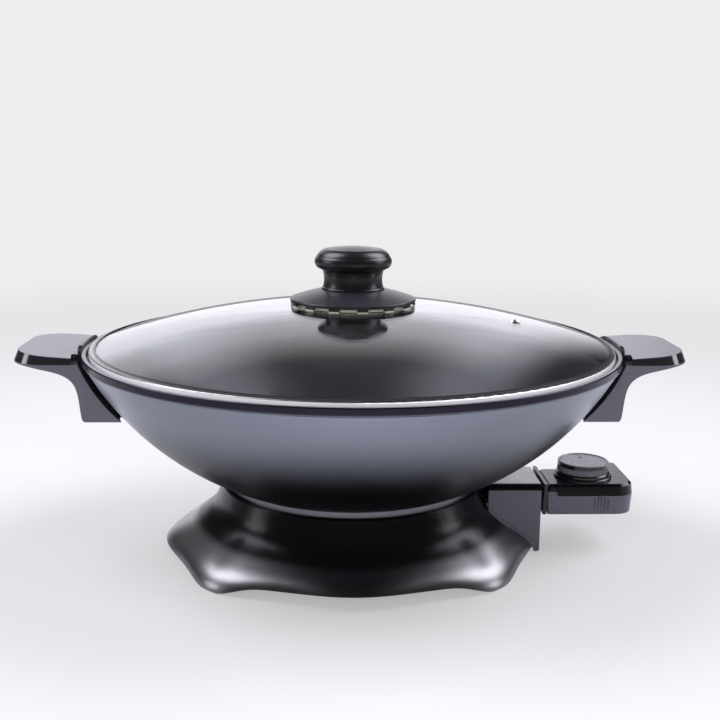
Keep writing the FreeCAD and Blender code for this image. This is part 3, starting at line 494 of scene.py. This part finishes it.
sheetMetal = {"lines": (900.0, 900.0, 60.0), "smears": 45.0, "brighter": 1.12, "unevenness": 0.10,
              "smearUnevenness": 0.05, "bumpHeight": 0.00001, "bumpStrength": 0.5}
brightLook = dict(sheetMetal, name="brightSteel", colour=rgb(0.80, 0.80, 0.82), roughness=0.10)
plainLook = dict(sheetMetal, name="plainSteel", colour=rgb(0.52, 0.52, 0.52), roughness=0.32)
elementLook = dict(sheetMetal, name="elementSteel", colour=rgb(0.24, 0.23, 0.22), roughness=0.45)
brassLook = dict(sheetMetal, name="sleeveBrass", colour=rgb(0.72, 0.55, 0.26), roughness=0.28)


def brushedMetal(look):
    steel = Finish(look["name"], metallic=1.0)
    brushed = steel.stretchedNoise(look["lines"], 4.0, 0.6)
    smear = steel.noise(look["smears"])
    steel.vary("Base Color", steel.mix(brushed * 0.6 + smear * 0.4, look["colour"],
                                       brighter(look["colour"], look["brighter"])))
    steel.vary("Roughness", look["roughness"] + brushed * look["unevenness"]
               + (smear - 0.5) * look["smearUnevenness"])
    steel.bump(brushed, look["bumpHeight"], look["bumpStrength"])
    return steel


dress(brushedMetal(brightLook), "vent_grommet", "heat_shield")
dress(brushedMetal(plainLook), "handle_screws", "base_plate", "base_screws", "centre_bolt", "centre_washer",
      "centre_nut", "centre_spacer", "terminal_pins", "thermowell", "knob_washer", "knob_screw",
      "control_screws", "probe_rod", "dial_shaft")
dress(brushedMetal(elementLook), "heating_element")
dress(brushedMetal(brassLook), "contact_sleeves")
print("metal parts finished")


ringLook = {"colour": rgb(0.28, 0.28, 0.29), "bright": rgb(0.35, 0.35, 0.36), "edge": rgb(0.94, 0.94, 0.95),
            "innerDark": rgb(0.02, 0.02, 0.022), "lines": 3000.0, "roughness": 0.20, "unevenness": 0.06,
            # in from the ring's outside and below its top
            "innerDarkInset": 0.0025, "edgeInset": 0.0013, "edgeDepth": 0.0015, "edgeSoft": 0.0002,
            "bumpHeight": 0.00001, "bumpStrength": 0.4}


def ringFinish(look):                        # dull steel; its outer face is painted white and not metallic, a painted highlight for the bright polished edge; a dark ring inside
    ring = Finish("ringSteel")
    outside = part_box("lid_rim_band")[1]
    x, y, z = ring.parts(ring.place())
    radius = flatLength(x, y)
    innerDark = 1.0 - ring.above(radius, outside.x - look["innerDarkInset"], hairline)
    # painted highlight: the outer face's white colour
    edge = ring.above(radius, outside.x - look["edgeInset"], look["edgeSoft"]) * (
        1.0 - ring.above(z, outside.z - look["edgeDepth"], look["edgeSoft"]))
    lines = ring.spunNoise(radius, z, look["lines"], 3.0)
    colour = ring.mix(edge, ring.mix(lines, look["colour"], look["bright"]), look["edge"])
    ring.vary("Base Color", ring.mix(innerDark, colour, look["innerDark"]))
    ring.vary("Metallic", (1.0 - innerDark) * (1.0 - edge))
    ring.vary("Roughness", look["roughness"] + lines * look["unevenness"])
    ring.bump(lines, look["bumpHeight"], look["bumpStrength"])
    return ring


glassLook = {"colour": rgb(0.93, 0.94, 0.97), "ior": 1.50, "film": 18.0, "filmRange": (0.55, 0.85),
             "roughness": 0.004, "filmRoughness": 0.03}


def glassFinish(look):                       # clear, with a thin uneven film
    glass = Finish("lidGlass", colour=look["colour"], transmission=1.0, ior=look["ior"])
    film = glass.step(glass.noise(look["film"], rough=0.55), *look["filmRange"])
    glass.vary("Roughness", look["roughness"] + film * look["filmRoughness"])
    return glass


dress(ringFinish(ringLook), "lid_rim_band")
dress(glassFinish(glassLook), "lid_glass")
print("lid finished")


rubbery = {"grain": 3000.0, "brighter": 1.5, "roughness": 0.62, "unevenness": 0.18, "specular": 0.3,
           "bumpHeight": 0.00004, "bumpStrength": 0.7}
rubberLook = dict(rubbery, name="blackRubber", colour=grey(0.012))
siliconeLook = dict(rubbery, name="creamSilicone", colour=rgb(0.56, 0.53, 0.44))


def rubberFinish(look):
    rubber = Finish(look["name"], specular=look["specular"])
    grain = rubber.noise(look["grain"], rough=0.6)
    rubber.vary("Base Color", rubber.mix(grain, look["colour"], brighter(look["colour"], look["brighter"])))
    rubber.vary("Roughness", look["roughness"] + grain * look["unevenness"])
    rubber.bump(grain, look["bumpHeight"], look["bumpStrength"])
    return rubber


dress(rubberFinish(rubberLook), "rubber_feet", "cord_gland")
dress(rubberFinish(siliconeLook), "knob_gasket")
print("rubber parts finished")
